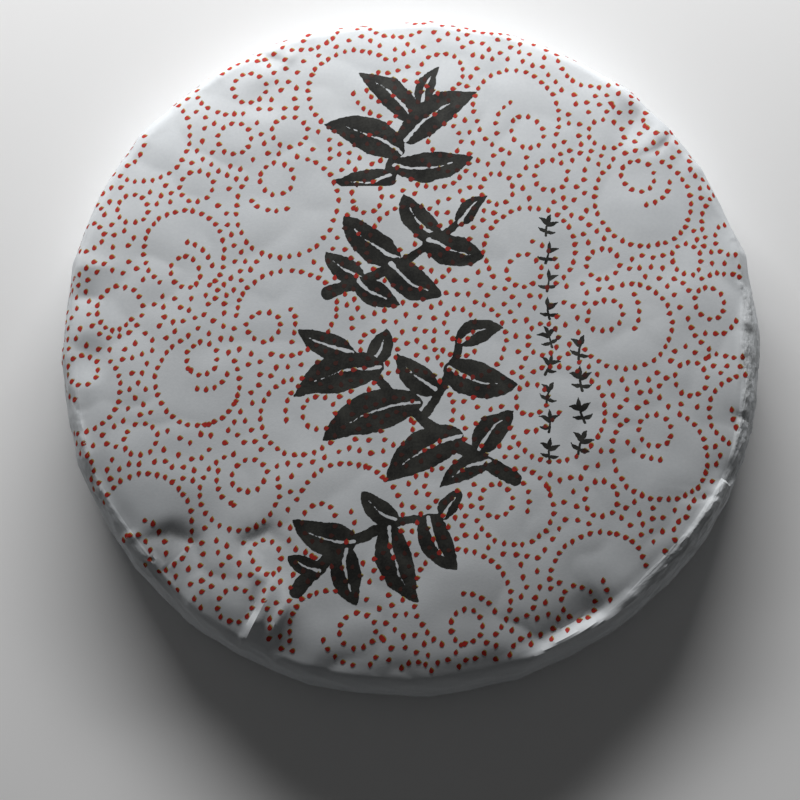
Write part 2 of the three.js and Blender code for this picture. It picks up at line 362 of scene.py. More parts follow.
def slack_height(x, y):
    """Waves along x, along y and aslant; each has a size, a sway with its own size, and a phase."""
    total = 0
    for (with_x, with_y), size, sway, sway_size, phase in SLACK_WAVES:
        along, across = with_x * x + with_y * y, with_y * x + with_x * y
        total = total + np.sin(along / size + sway * np.sin(across / sway_size) + phase)
    slack = mix(SLACK_AT_MIDDLE, SLACK_AT_RIM, (np.hypot(x, y) / CAKE_RADIUS) ** 3)
    return slack * (total / len(SLACK_WAVES))


def folded_wave(phase):
    turns = phase / TURN
    return 4 * np.abs(turns - np.floor(turns + 0.5)) - 1


def crumple_height(angle, z):
    waves = [folded_wave(count * angle + lean * z + phase) for count, lean, phase in CRUMPLE_WAVES]
    return CRUMPLE_DEPTH * sum(waves) / len(waves)


def dent_depth(x, y):
    total = np.zeros_like(x)
    for dent_x, dent_y, radius, depth in DENTS:
        far = np.hypot(x - dent_x, y - dent_y) / radius
        total += depth * np.clip(1 - far ** 2, 0, 1) ** 2
    return total


def crease_height(x, y):
    """Sharp along each crease's line, and falling off to its left and to its right in its two reaches."""
    total = np.zeros_like(x)
    for points, height, left_reach, right_reach in CREASES:
        nearest = np.full_like(x, np.inf)
        here = np.zeros_like(x)
        for number, (start, end) in enumerate(zip(points, points[1:])):
            along = np.subtract(end, start)
            away_x, away_y = x - start[0], y - start[1]
            near = np.clip((away_x * along[0] + away_y * along[1]) / (along @ along), 0, 1)
            off = np.hypot(away_x - near * along[0], away_y - near * along[1])
            on_left = along[0] * away_y > along[1] * away_x
            run = (number + near) / (len(points) - 1)
            crest = mix(CREASE_SHARE_AT_ENDS, 1, np.sin(math.pi * run))
            closer = off < nearest
            nearest[closer] = off[closer]
            rounded = np.hypot(off, CREST_ROUNDING) - CREST_ROUNDING
            here[closer] = (crest * np.exp(-rounded / np.where(on_left, left_reach, right_reach)))[closer]
        total += height * here
    return total


print(f"{PLEATS} pleats, {len(DENTS)} dents and {len(CREASES)} creases")

# %% [markdown]
# ## One skin
# Each ring is turned into points: the angle follows the fold lines, and the lift of every fold is added
# along the section's own outward direction. Beside its place each point keeps where it lies on the flat
# sheet, which later drives crinkles that follow the paper and not the room.

# %% Points of the skin
CRINKLE_START = 94.3
CRINKLE_SPREAD = 2.2
CRINKLE_SWAY = 1.3
CRINKLE_SWAYS = 8
CRINKLE_ANYWHERE = 0.08
CRINKLED_SIDES = [(math.radians(-18), 7, 0.85), (math.radians(192), 30, 0.15), (math.radians(208), 16, 0.35)]
CRINKLE_BEHIND = 0.25
GATHERED_REACH = 38
DRAPE_AT_MIDDLE = 0.3
DRAPE_BEHIND = 0.45
WORN_REACH = 0.6
FULLY_WORN = 1.2


def crinkle_share(angle):
    sides = [share * np.exp((np.cos(angle - side) - 1) * tight) for side, tight, share in CRINKLED_SIDES]
    return CRINKLE_ANYWHERE + sum(sides)


def ring_outward(j):
    if j == 0:
        return 0.0, 1.0
    if j == len(rings) - 1:
        return 0.0, -1.0
    before, after = rings[j - 1], rings[j + 1]
    out = np.array([before["z"] - after["z"], after["r"] - before["r"]])
    return out / np.linalg.norm(out)


def ring_points(j):
    ring = rings[j]
    columns = 1 if ring["r"] == 0 else ring["columns"]
    step = FINE // ring["columns"]
    u = np.arange(0, FINE, step)[:columns] / (FINE - 1) * (1 - PLEAT_STEP_SHARE)
    k = np.arange(1 if ring["r"] == 0 else PLEATS)[:, None]
    flat_angle = mix(fold_angle(k), fold_angle(k + 1), u[None, :]).ravel()
    u = np.broadcast_to(u, (len(k), len(u))).ravel()
    angle = flat_angle + (pinwheel_turn(ring["r"]) if ring["behind"] else 0)
    r = ring["r"]
    x, y = r * np.cos(angle), r * np.sin(angle)
    facet = FACET_SAG * 4 * u * (1 - u) * ease(r, FACET_START, CAKE_RADIUS)
    crease = ring["slack"] * crease_height(x, y)
    pleat_depth = PLEAT_DEPTH * (1 + PLEAT_DEPTH_SWAY * np.sin(PLEAT_UNEVEN_STEP * (k % PLEATS)))
    pleat = ring["pleat"] * np.broadcast_to(pleat_depth, (len(k), columns)).ravel() * ease(u, PLEAT_LAND, 1)
    lift = (ring["slack"] * (slack_height(x, y) - dent_depth(x, y)) + crease
            + ring["crumple"] * crumple_height(angle, ring["z"]) - pleat - facet)
    out = ring_outward(j)
    radius = r * (1 + outline_share(angle) * (r / CAKE_RADIUS) ** 2) + lift * out[0]
    points = np.stack([radius * np.cos(angle), radius * np.sin(angle), ring["z"] + lift * out[1]], 1)
    off_fold = np.minimum(u, 1 - u) * TURN * r / PLEATS
    fold_wear = ring["pleat"] * np.exp(-off_fold / WORN_REACH)
    worn = np.clip(np.abs(crease) / FULLY_WORN + fold_wear, 0, 1)
    return points, flat_angle, worn


arc_length = 0.0
skin_points = []
skin_values = {"sheet": [], "crinkle": [], "gather": [], "drape": [], "worn": []}
for j, ring in enumerate(rings):
    if j:
        arc_length += math.hypot(ring["r"] - rings[j - 1]["r"], ring["z"] - rings[j - 1]["z"])
    points, flat_angle, worn = ring_points(j)
    same = np.ones(len(points))
    reach = CAKE_RADIUS
    if ring["behind"]:
        reach = mix(GATHERED_REACH, CAKE_RADIUS, ease(ring["r"], 0, heel_edge[0]))
        crinkle = CRINKLE_BEHIND * same
        gather = ease(heel_edge[0] - ring["r"], 0, heel_edge[0] - RING_INNER)
        drape = DRAPE_BEHIND
    else:
        border = CRINKLE_START + CRINKLE_SWAY * folded_wave(CRINKLE_SWAYS * flat_angle)
        crinkle = ease(ring["r"], border, border + CRINKLE_SPREAD) * crinkle_share(flat_angle)
        gather = 0.0
        drape = mix(DRAPE_AT_MIDDLE, 1, ease(ring["r"], 0, CAKE_RADIUS))
    skin_points.append(points)
    skin_values["sheet"].append(np.stack([reach * np.cos(flat_angle), reach * np.sin(flat_angle),
                                          arc_length * same], 1))
    skin_values["crinkle"].append(crinkle)
    skin_values["gather"].append(gather * same)
    skin_values["drape"].append(drape * same)
    skin_values["worn"].append(worn)
print(f"From the middle of the face to the middle of the back the paper runs {arc_length:.0f} mm")

# %% [markdown]
# ## Joining the rings
# Two neighbouring rings with as many columns are joined by quads. Where the count doubles, each coarse edge
# meets two fine ones, and three triangles close the gap, so the skin stays one closed mesh all the way.

# %% Faces of the skin
def join_rings(inner, outer, inner_count, outer_count):
    """Faces between two rings that start at these point numbers, the first nearer the face's middle."""
    faces = []
    if inner_count == 1:
        return [(inner, outer + i, outer + (i + 1) % outer_count) for i in range(outer_count)]
    if outer_count == 1:
        return [(inner + i, outer, inner + (i + 1) % inner_count) for i in range(inner_count)]
    for i in range(min(inner_count, outer_count)):
        after = (i + 1) % min(inner_count, outer_count)
        if inner_count == outer_count:
            faces.append((inner + i, outer + i, outer + after, inner + after))
        elif inner_count < outer_count:
            a, b, c = outer + 2 * i, outer + 2 * i + 1, outer + 2 * after
            faces += [(inner + i, a, b), (inner + i, b, inner + after), (inner + after, b, c)]
        else:
            a, b, c = inner + 2 * i, inner + 2 * i + 1, inner + 2 * after
            faces += [(a, outer + i, b), (b, outer + i, outer + after), (b, outer + after, c)]
    return faces


counts = [len(points) for points in skin_points]
starts = np.concatenate([[0], np.cumsum(counts)])
skin_faces = []
for j in range(len(rings) - 1):
    skin_faces += join_rings(int(starts[j]), int(starts[j + 1]), counts[j], counts[j + 1])
all_points = np.concatenate(skin_points)
skin_low, skin_high = all_points.min(0), all_points.max(0)
shift = np.array((cake_low + cake_high) / 2 / MM) - (skin_low + skin_high) / 2
shift[2] = -skin_low[2]
wrapper = new_piece("wrapper", all_points + shift, skin_faces,
                    {name: np.concatenate(values) for name, values in skin_values.items()})
triangles = sum(len(face) - 2 for face in skin_faces)
print(f"The skin has {len(all_points)} points and {triangles} triangles")

# %% [markdown]
# ## The paper
# Wrapping paper of this kind is thin, cool white and rather dull, with only a faint gleam where it bends.
# One flat colour would look like plastic, so noise in three sizes shifts it: broad clouds from handling,
# fine fibres, and a faint tooth that only the bump feels. Where the sheet is crumpled it breaks into planes
# finer than a mesh should carry. Those are bump too: a Voronoi pattern read on the flat sheet, drawn out
# along the rim and masked by the crinkle that each point keeps. A darker grey is mixed into those creases
# as painted shade, and folds are rubbed a little paler and duller.

# %% Paper material
PAPER_LIGHT = (0.655, 0.680, 0.700, 1)
PAPER_DIM = (0.590, 0.617, 0.640, 1)
# Painted shade: the darker grey mixed into the creases of the crinkled rim.
PAPER_CREASE_SHADE = (0.400, 0.415, 0.420, 1)
PAPER_RUBBED = (0.720, 0.735, 0.745, 1)
ALONG_THE_RIM = (0.36, 0.36, 1.0)
CREASE_CELL = 1.7
CREASE_RELIEF = 0.34
HAIRLINE_CELL = 0.8
HAIRLINE_RELIEF = 0.14
NOISE_RANGE = (0.3, 0.7)
CLOUD_SIZE = 28
FIBRE_SIZE = 0.9
FIBRE_RANGE = (0.25, 0.75)
FIBRE_CONTRAST = 0.35
CRUSHED_RANGE = (0.25, 0.9)
# Where along the crease lines the painted shade starts, and how dark it gets at most.
CREASE_SHADE_RANGE = (0.7, 1.1)
CREASE_SHADE_MOST = 0.7
RUB_SIZE = 1.2
RUB_RANGE = (0.35, 0.6)
RUB_MOST = 0.6
GLOSS_SIZE = 9
PAPER_ROUGHNESS = (0.60, 0.69)
ROUGHER_IF_RUBBED = 0.15
PAPER_SPECULAR = 0.32
TOOTH_SIZE = 0.5
PAPER_TOOTH = 0.012


def new_material(name):
    material = bpy.data.materials.new(name)
    material.use_nodes = True
    tree = material.node_tree
    tree.nodes.clear()
    shader = tree.nodes.new("ShaderNodeBsdfPrincipled")
    output = tree.nodes.new("ShaderNodeOutputMaterial")
    tree.links.new(shader.outputs["BSDF"], output.inputs["Surface"])
    place = tree.nodes.new("ShaderNodeTexCoord").outputs["Object"]
    return material, tree, shader, place


def noise(tree, place, size, detail=3.0):
    """Noise whose bumps are about this many millimetres wide."""
    inputs = {"Vector": place, "Scale": 1 / (size * MM), "Detail": detail}
    return add(tree, "ShaderNodeTexNoise", inputs).outputs["Fac"]


def between(tree, value, from_range, low, high):
    """The value with this range of it spread from low to high, and held there."""
    start, end = from_range
    inputs = {"Value": value, "From Min": start, "From Max": end, "To Min": low, "To Max": high}
    return add(tree, "ShaderNodeMapRange", inputs).outputs["Result"]


def drifting(tree, place, size, low, high, detail=3.0):
    return between(tree, noise(tree, place, size, detail), NOISE_RANGE, low, high)


def blend_colours(tree, share, first, second):
    made = add(tree, "ShaderNodeMix", {0: share, 6: first, 7: second}, data_type="RGBA")
    return made.outputs[2]


def planes(tree, sheet, stretch, cell):
    """Flat little planes that meet in sharp lines: distance in a Voronoi pattern, stretched on the sheet."""
    drawn = vectors(tree, "MULTIPLY", sheet, [v / cell for v in stretch])
    made = add(tree, "ShaderNodeTexVoronoi", {"Vector": drawn, "Scale": 1.0},
               feature="F1", distance="MANHATTAN")
    return made.outputs["Distance"]


def attribute(tree, name, out="Fac"):
    return add(tree, "ShaderNodeAttribute", attribute_name=name).outputs[out]


def bump_by(tree, shader, height, distance):
    bump = add(tree, "ShaderNodeBump", {"Height": height, "Strength": 1.0, "Distance": distance})
    tree.links.new(bump.outputs["Normal"], shader.inputs["Normal"])


paper, tree, shader, place = new_material("wrapping_paper")
sheet = attribute(tree, "sheet", "Vector")
clouds = drifting(tree, place, CLOUD_SIZE, 0.0, 1.0)
fibres = noise(tree, place, FIBRE_SIZE, detail=6)
fibres = between(tree, fibres, FIBRE_RANGE, -FIBRE_CONTRAST, FIBRE_CONTRAST)
tone = maths(tree, "ADD", clouds, fibres)
creases = planes(tree, sheet, ALONG_THE_RIM, CREASE_CELL)
hairlines = planes(tree, sheet, ALONG_THE_RIM, HAIRLINE_CELL)
crushed = between(tree, attribute(tree, "crinkle"), CRUSHED_RANGE, 0.0, 1.0)
# Painted shade along the crease lines, only where the rim is crinkled.
painted_crease_shade = maths(tree, "MULTIPLY", between(tree, creases, CREASE_SHADE_RANGE, 0.0, CREASE_SHADE_MOST), crushed)
rub = between(tree, noise(tree, place, RUB_SIZE), RUB_RANGE, 0.0, RUB_MOST)
rubbed = maths(tree, "MULTIPLY", attribute(tree, "worn"), rub)
colour = blend_colours(tree, tone, PAPER_DIM, PAPER_LIGHT)
colour = blend_colours(tree, painted_crease_shade, colour, PAPER_CREASE_SHADE)
colour = blend_colours(tree, rubbed, colour, PAPER_RUBBED)
tree.links.new(colour, shader.inputs["Base Color"])
gloss = drifting(tree, place, GLOSS_SIZE, *PAPER_ROUGHNESS)
tree.links.new(maths(tree, "MULTIPLY_ADD", rubbed, ROUGHER_IF_RUBBED, gloss), shader.inputs["Roughness"])
shader.inputs["Specular IOR Level"].default_value = PAPER_SPECULAR
relief = maths(tree, "MULTIPLY", creases, CREASE_RELIEF)
relief = maths(tree, "MULTIPLY", maths(tree, "MULTIPLY_ADD", hairlines, HAIRLINE_RELIEF, relief), crushed)
relief = maths(tree, "MULTIPLY_ADD", noise(tree, place, TOOTH_SIZE, detail=4), PAPER_TOOTH, relief)
bump_by(tree, shader, relief, MM)
print("The paper's colour drifts between two cool whites")

# %% [markdown]
# ## Crumpling with Geometry Nodes
# Thin paper forced round a rim breaks into small flat facets with sharp lines between them. A Voronoi
# pattern has such cells. In the large facets each cell's own random colour serves as a slope. The small ones
# rise with the distance from their cell's middle, counted in straight steps, which gives planes too. The tree
# moves the skin along its normals by both, read on the flat sheet, drawn out along the rim and masked by the
# crinkle that each point keeps. Long lengthwise wrinkles gather the back, and slight folds, where noise
# crosses its middle value, drape the whole. Last, whatever sinks below the floor is pressed flat, as the
# table does it.

# %% The crumpling tree
CRUMPLING = {
    "Wall Cell": 6.5, "Wall Depth": 1.3 * MM,
    "Small Cell": 2.7, "Small Depth": 0.5 * MM,
    "Gather Width": 3.2, "Gather Depth": 0.5 * MM,
    "Drape Width": 24.0 * MM, "Drape Depth": 2.2 * MM,
}
DOWN_THE_SECTION = (1, 1, 0.1)
EVENLY = (1, 1, 1)
SHARP_ANGLE = math.radians(24)

crumpling, given, result = new_geometry_tree("crumpling", [
    *((label, "NodeSocketFloat", value) for label, value in CRUMPLING.items()),
    ("Paper", "NodeSocketMaterial", None),
])


def named(tree, name, kind="FLOAT"):
    return add(tree, "GeometryNodeInputNamedAttribute", {"Name": name}, data_type=kind).outputs["Attribute"]


def position(tree):
    return tree.nodes.new("GeometryNodeInputPosition").outputs[0]


def set_position(tree, geometry, **place):
    return add(tree, "GeometryNodeSetPosition", {"Geometry": geometry, **place}).outputs["Geometry"]


def finish_tree(tree, result, geometry, material):
    realized = add(tree, "GeometryNodeRealizeInstances", {"Geometry": geometry})
    covered = add(tree, "GeometryNodeSetMaterial",
                  {"Geometry": realized.outputs["Geometry"], "Material": material})
    tree.links.new(covered.outputs["Geometry"], result["Geometry"])


def drawn_out(tree, place, stretch, size):
    """The place in units of size, shortened by stretch, so that a pattern read there is drawn out."""
    along = vectors(tree, "MULTIPLY", place, stretch)
    return vectors(tree, "SCALE", along, Scale=maths(tree, "DIVIDE", 1.0, size))


def facets(tree, place):
    """The height of a facet that slopes, within its own cell, by that cell's random colour."""
    cells = add(tree, "ShaderNodeTexVoronoi", {"Vector": place, "Scale": 1.0}, feature="F1").outputs
    slope = vectors(tree, "SUBTRACT", cells["Color"], (0.5, 0.5, 0.5))
    inside = vectors(tree, "SUBTRACT", place, cells["Position"])
    return vectors(tree, "DOT_PRODUCT", slope, inside, out="Value")


def soft_noise(tree, place, detail=2.0):
    fac = add(tree, "ShaderNodeTexNoise", {"Vector": place, "Scale": 1.0, "Detail": detail}).outputs["Fac"]
    return maths(tree, "SUBTRACT", fac, 0.5)


sheet = named(crumpling, "sheet", "FLOAT_VECTOR")
wall = facets(crumpling, drawn_out(crumpling, sheet, ALONG_THE_RIM, given["Wall Cell"]))
small_place = drawn_out(crumpling, sheet, ALONG_THE_RIM, given["Small Cell"])
small = planes(crumpling, small_place, EVENLY, 1.0)
wall_lift = maths(crumpling, "MULTIPLY", wall, given["Wall Depth"])
rim_lift = maths(crumpling, "MULTIPLY_ADD", small, given["Small Depth"], wall_lift)
rim_lift = maths(crumpling, "MULTIPLY", rim_lift, named(crumpling, "crinkle"))
wrinkles = soft_noise(crumpling, drawn_out(crumpling, sheet, DOWN_THE_SECTION, given["Gather Width"]))
gather_lift = maths(crumpling, "MULTIPLY", wrinkles, named(crumpling, "gather"))
lift = maths(crumpling, "MULTIPLY_ADD", gather_lift, given["Gather Depth"], rim_lift)
drape_place = drawn_out(crumpling, position(crumpling), EVENLY, given["Drape Width"])
folds = maths(crumpling, "ABSOLUTE", soft_noise(crumpling, drape_place, detail=1.0))
drape_lift = maths(crumpling, "MULTIPLY", folds, named(crumpling, "drape"))
lift = maths(crumpling, "MULTIPLY_ADD", drape_lift, given["Drape Depth"], lift)
normal = crumpling.nodes.new("GeometryNodeInputNormal").outputs[0]
moved = set_position(crumpling, given["Geometry"], Offset=vectors(crumpling, "SCALE", normal, Scale=lift))
split = add(crumpling, "ShaderNodeSeparateXYZ", {0: position(crumpling)}).outputs
height = maths(crumpling, "MAXIMUM", split["Z"], 0.0)
on_floor = add(crumpling, "ShaderNodeCombineXYZ", {0: split["X"], 1: split["Y"], 2: height}).outputs[0]
pressed = set_position(crumpling, moved, Position=on_floor)
finish_tree(crumpling, result, pressed, given["Paper"])

apply_tree(wrapper, crumpling, {**CRUMPLING, "Paper": paper})
wrapper.data.shade_smooth()
wrapper.data.set_sharp_from_angle(angle=SHARP_ANGLE)
lowest = min(point.co.z for point in wrapper.data.vertices)
print(f"After crumpling the lowest point of the paper is {lowest / MM:.2f} mm high")

# %% [markdown]
# ## Brushwork as a distance field
# The big black motifs are sprigs of tea, painted with a loaded brush: fat leaves with a bare vein, and a
# stem that thins. Curves filled flat would have clean vector edges and would overlap where leaves meet.
# A distance field is kinder: every stroke lowers one shared field, noise frays its edge, and the ink is
# simply wherever the field is below zero, in one layer without overlaps.

# %% The brush
NOISE_TABLE = 64
STEM_TOUCHES = 80
LEAF_TOUCHES = 60
LEAF_BELLY = 0.72
LEAF_FULLNESS = 0.85
LEAF_THINNEST = 0.15
VEIN_WIDTH = 1.15
VEIN_END = 0.75
FAR_OFF = 99.0


def value_noise(x, y, cell, seed):
    """Smooth noise from -1 to 1 with one random value for each cell of this size."""
    table = np.random.default_rng(seed).uniform(-1, 1, (NOISE_TABLE, NOISE_TABLE))
    column, row = np.floor(x / cell).astype(int), np.floor(y / cell).astype(int)
    across, up = x / cell - column, y / cell - row
    across, up = across ** 2 * (3 - 2 * across), up ** 2 * (3 - 2 * up)
    corners = [table[(column + i) % NOISE_TABLE, (row + j) % NOISE_TABLE] for j in (0, 1) for i in (0, 1)]
    return mix(mix(corners[0], corners[1], across), mix(corners[2], corners[3], across), up)


def shifts(x, y, most, cell, seeds):
    """Smooth shifts of up to this many millimetres, one for each seed."""
    return [most * value_noise(x, y, cell, seed) for seed in seeds]


def bent_line(start, end, bend, count):
    start, end = np.array(start, float), np.array(end, float)
    along = end - start
    control = (start + end) / 2 + bend * np.array([-along[1], along[0]])
    t = np.linspace(0, 1, count)
    left, middle, right = (1 - t) ** 2, 2 * t * (1 - t), t ** 2
    return left[:, None] * start + middle[:, None] * control + right[:, None] * end, t


def touch(field, x, y, places, half_widths):
    """Press the brush down at each place: the field falls to the distance from the mark's edge."""
    for (at_x, at_y), half in zip(places, half_widths):
        np.minimum(field, np.hypot(x - at_x, y - at_y) - half, out=field)


def paint_stem(field, x, y, start, end, bend, thick, thin):
    places, t = bent_line(start, end, bend, STEM_TOUCHES)
    touch(field, x, y, places, mix(thick, thin, t) / 2)


def paint_leaf(field, x, y, start, end, width, bend, vein=VEIN_WIDTH):
    places, t = bent_line(start, end, bend, LEAF_TOUCHES)
    body = width / 2 * np.sin(math.pi * t ** LEAF_BELLY) ** LEAF_FULLNESS
    touch(field, x, y, places, np.maximum(body, LEAF_THINNEST))
    if vein:
        bare = np.full_like(field, FAR_OFF)
        part = t < VEIN_END
        touch(bare, x, y, places[part], vein / 2 * (1 - t[part]))
        np.maximum(field, -bare, out=field)


print("The brush paints stems and leaves")

# %% [markdown]
# ## The sprigs
# Four sprigs stand one under the other down the middle of the face, each four to six centimetres wide. A
# stem is its two ends, a bend and two thicknesses; a leaf is its two ends, a width and a bend. Painting them
# takes a list of strokes for each sprig and nothing else. Slow noise then lets every line wander, and two
# finer ones fray its edge; each is a most, a size and its seeds.

# %% The four sprigs, in millimetres on the face
SPRIGS = [
    dict(box=(-26, 46, 21, 84),
         stems=[((-6, 47.5), (3, 73), 0.10, 3.4, 1.8)],
         leaves=[((3, 71), (8, 83), 5.5, 0.12), ((1, 66), (-15, 81), 8.5, -0.18),
                 ((-1.5, 60), (19, 75), 10.0, 0.16), ((-3, 56), (-24.6, 65), 10.5, -0.16),
                 ((-4.5, 52), (18, 55), 9.0, -0.14), ((-6, 49), (-22, 48), 7.0, 0.18)]),
    dict(box=(-26, 8, 24, 45),
         stems=[((-24, 14), (15, 36), -0.10, 3.6, 1.8)],
         leaves=[((14, 35), (21.6, 43), 5.5, 0.15), ((7, 31), (-2, 43), 8.0, 0.18),
                 ((5, 30), (21, 25), 9.5, -0.15), ((-4, 24.5), (-19, 37), 9.5, 0.16),
                 ((-6, 23), (9, 13), 9.5, -0.16), ((-14, 18.5), (-24, 26), 7.0, 0.14),
                 ((-15, 18), (-3, 10.5), 7.0, -0.16)]),
    dict(box=(-36, -44, 32, 6),
         stems=[((29, -40), (-18, -2), 0.10, 4.2, 2.0), ((4, -21), (14, 1), -0.12, 2.8, 1.8)],
         leaves=[((-17, -3), (-32, 3.5), 7.5, 0.14), ((-11, -6), (-7, 3.6), 6.5, -0.16),
                 ((-9, -8), (-33, -16), 11.0, -0.18), ((14, 0), (26, 3.6), 7.0, 0.2),
                 ((11, -8), (30, -13), 10.5, -0.16), ((7, -14), (-4, -4), 8.0, 0.18),
                 ((2, -18), (-25, -29), 11.5, -0.16), ((14, -28), (-7, -41), 11.0, -0.18),
                 ((19, -32), (29, -21), 8.0, 0.16), ((22, -35), (8, -42), 6.5, -0.14)]),
    dict(box=(-37, -78, 17, -42),
         stems=[((-32, -72), (10, -51), 0.24, 3.8, 2.0)],
         leaves=[((9, -51), (14, -44), 5.5, 0.15), ((5, -51), (13, -66), 9.0, -0.18),
                 ((-4, -52), (-14, -44), 7.0, 0.16), ((-6, -54), (2, -75), 10.0, -0.2),
                 ((-16, -58), (-33, -52), 9.5, 0.18), ((-18, -60), (-15, -76), 8.5, -0.2),
                 ((-26, -66), (-34.5, -62), 5.5, 0.1)]),
]
SPRIG_STEP = 0.3
EDGE_WANDER = (0.45, 4.0, (8, 9))
EDGE_FRAY = (0.16, 0.9, [11])
EDGE_GRAIN = (0.10, 0.45, [12])


def field_grid(box, step):
    columns = np.arange(box[0], box[2] + step, step)
    rows = np.arange(box[1], box[3] + step, step)
    x, y = np.meshgrid(columns, rows, indexing="ij")
    return x, y, np.full_like(x, FAR_OFF)


def paint_sprig(sprig):
    x, y, field = field_grid(sprig["box"], SPRIG_STEP)
    shift_x, shift_y = shifts(x, y, *EDGE_WANDER)
    for strokes in sprig["stems"]:
        paint_stem(field, x + shift_x, y + shift_y, *strokes)
    for strokes in sprig["leaves"]:
        paint_leaf(field, x + shift_x, y + shift_y, *strokes)
    field += sum(shifts(x, y, *EDGE_FRAY) + shifts(x, y, *EDGE_GRAIN))
    return x, y, field


inked = [paint_sprig(sprig) for sprig in SPRIGS]
for number, (x, y, field) in enumerate(inked):
    print(f"Sprig {number + 1} inks {(field < 0).mean():.0%} of its place")

# %% [markdown]
# ## Small marks at the side
# Beside the sprigs run two columns of small brush marks, nine and four. Each is one bud with a few leaves,
# no larger than a fingernail, leaning its own way. They are painted like the sprigs, on a finer grid.

# %% Two columns of buds
MARK_SEED = 12
MARK_STEP = 0.13
MARK_REACH = 3.9
MARK_LEAN = 0.35
MARK_WANDER = (0.2, 1.6, (21, 22))
MARK_FRAY = (0.08, 0.4, [23])
MARK_COLUMNS = [(39.0, 34.2, -31.8, 9, 1.0), (48.0, -2.0, -29.5, 4, 1.12)]
MARK_STEM = ((0, -3.1), (0, 1.2), 0.06, 0.75, 0.5)
MARK_LEAVES = [((0, 0.9), (0.3, 3.3), 1.15, 0.1), ((0, 0.1), (-2.7, 1.9), 1.25, -0.2),
               ((0, -0.3), (2.8, 1.4), 1.25, 0.2), ((0, -1.7), (-2.5, -1.0), 1.05, 0.2),
               ((0, -1.9), (2.4, -1.6), 1.05, -0.2)]
mark_draw = np.random.default_rng(MARK_SEED)


def paint_mark(centre_x, centre_y, size):
    x, y, field = field_grid((-MARK_REACH, -MARK_REACH, MARK_REACH, MARK_REACH), MARK_STEP)
    lean = mark_draw.uniform(-MARK_LEAN, MARK_LEAN)
    side = mark_draw.choice([-1, 1])
    shift_x, shift_y = shifts(x, y, *MARK_WANDER)
    turned_x = (x * math.cos(lean) + y * math.sin(lean)) * side + shift_x
    turned_y = -x * math.sin(lean) + y * math.cos(lean) + shift_y
    paint_stem(field, turned_x, turned_y, *MARK_STEM)
    left_out = mark_draw.integers(1, len(MARK_LEAVES) + 2)
    for number, strokes in enumerate(MARK_LEAVES):
        if number != left_out:
            paint_leaf(field, turned_x, turned_y, *strokes, vein=0)
    field += sum(shifts(x, y, *MARK_FRAY))
    return centre_x + x * size, centre_y + y * size, field * size


for column_x, top, bottom, count, size in MARK_COLUMNS:
    for mark_y in np.linspace(top, bottom, count):
        inked.append(paint_mark(column_x, mark_y, size))
print(f"{len(inked) - len(SPRIGS)} small marks are painted")

# %% [markdown]
# ## From field to mesh
# To make a mesh of the ink we walk over the grid, two triangles to a cell. Where all corners are inked the
# triangle stays whole, and where the edge of the ink passes through, it is cut on the zero line. A cut keeps
# a little way off the corners, or it would leave slivers of no area, and a corner that is inked all alone
# is no brushwork but a speck, so it is left bare.

# %% Triangles of ink
CUT_MARGIN = 0.05
ink_points, ink_faces = [], []


def without_specks(field):
    wet = np.pad(field < 0, 1)
    beside = wet[:-2, 1:-1] | wet[2:, 1:-1] | wet[1:-1, :-2] | wet[1:-1, 2:]
    return np.where(beside, field, np.abs(field))


def add_ink(x, y, field):
    field = without_specks(field)
    numbers = {}

    def corner(at):
        if at not in numbers:
            numbers[at] = len(ink_points)
            ink_points.append((x[at], y[at], 0.0))
        return numbers[at]

    def crossing(at, other):
        key = (min(at, other), max(at, other))
        if key not in numbers:
            share = np.clip(field[at] / (field[at] - field[other]), CUT_MARGIN, 1 - CUT_MARGIN)
            numbers[key] = len(ink_points)
            ink_points.append((mix(x[at], x[other], share), mix(y[at], y[other], share), 0.0))
        return numbers[key]

    wet = field < 0
    touched = wet[:-1, :-1] | wet[1:, :-1] | wet[1:, 1:] | wet[:-1, 1:]
    for i, j in np.argwhere(touched).tolist():
        for triangle in (((i, j), (i + 1, j), (i + 1, j + 1)), ((i, j), (i + 1, j + 1), (i, j + 1))):
            outline = []
            for at, after in zip(triangle, triangle[1:] + triangle[:1]):
                if wet[at]:
                    outline.append(corner(at))
                if wet[at] != wet[after]:
                    outline.append(crossing(at, after))
            if len(outline) > 2:
                ink_faces.append(tuple(outline))


for x, y, field in inked:
    add_ink(x, y, field)
print(f"The ink has {sum(len(face) - 2 for face in ink_faces)} triangles")

# %% [markdown]
# ## The dotted ground
# The red print is nothing but small teardrop dots. They leave round bays bare, edge them with a row of
# dots, and curl into a small eye at one side of each; between the bays they fill the ground evenly. Such a
# print could be drawn by hand, dot by dot, but a rule with a fixed seed lays out two thousand in a second:
# throw the largest bays first, then smaller ones in what is left, and then fill the ground.

# %% Bays and rings
PRINT_SEED = 357
PRINT_CENTRE = np.array([-3.5, 5.5])
PRINT_RADIUS = 100.0
BAY_SIZES = [(14.0, 12), (12.5, 14), (11.0, 18), (8.6, 18)]
BAY_GAP = 3.4
RING_RADIUS = 4.7
RING_COUNT = 26
RING_GAP = 2.7
THROWS = 900
print_draw = np.random.default_rng(PRINT_SEED)


def random_places(count, radius):
    angle = print_draw.uniform(0, TURN, count)
    far = radius * np.sqrt(print_draw.uniform(size=count))
    return PRINT_CENTRE + np.stack([far * np.cos(angle), far * np.sin(angle)], 1)


def throw_circles(placed, radius, count, gap):
    for _ in range(count):
        for place in random_places(THROWS, PRINT_RADIUS + BAY_GAP):
            if all(math.dist(place, other) > radius + size + gap for other, size in placed):
                placed.append((place, radius))
                break


circles = []
for radius, count in BAY_SIZES:
    throw_circles(circles, radius, count, BAY_GAP)
bay_count = len(circles)
throw_circles(circles, RING_RADIUS, RING_COUNT, RING_GAP)
print(f"{bay_count} bays and {len(circles) - bay_count} small rings")

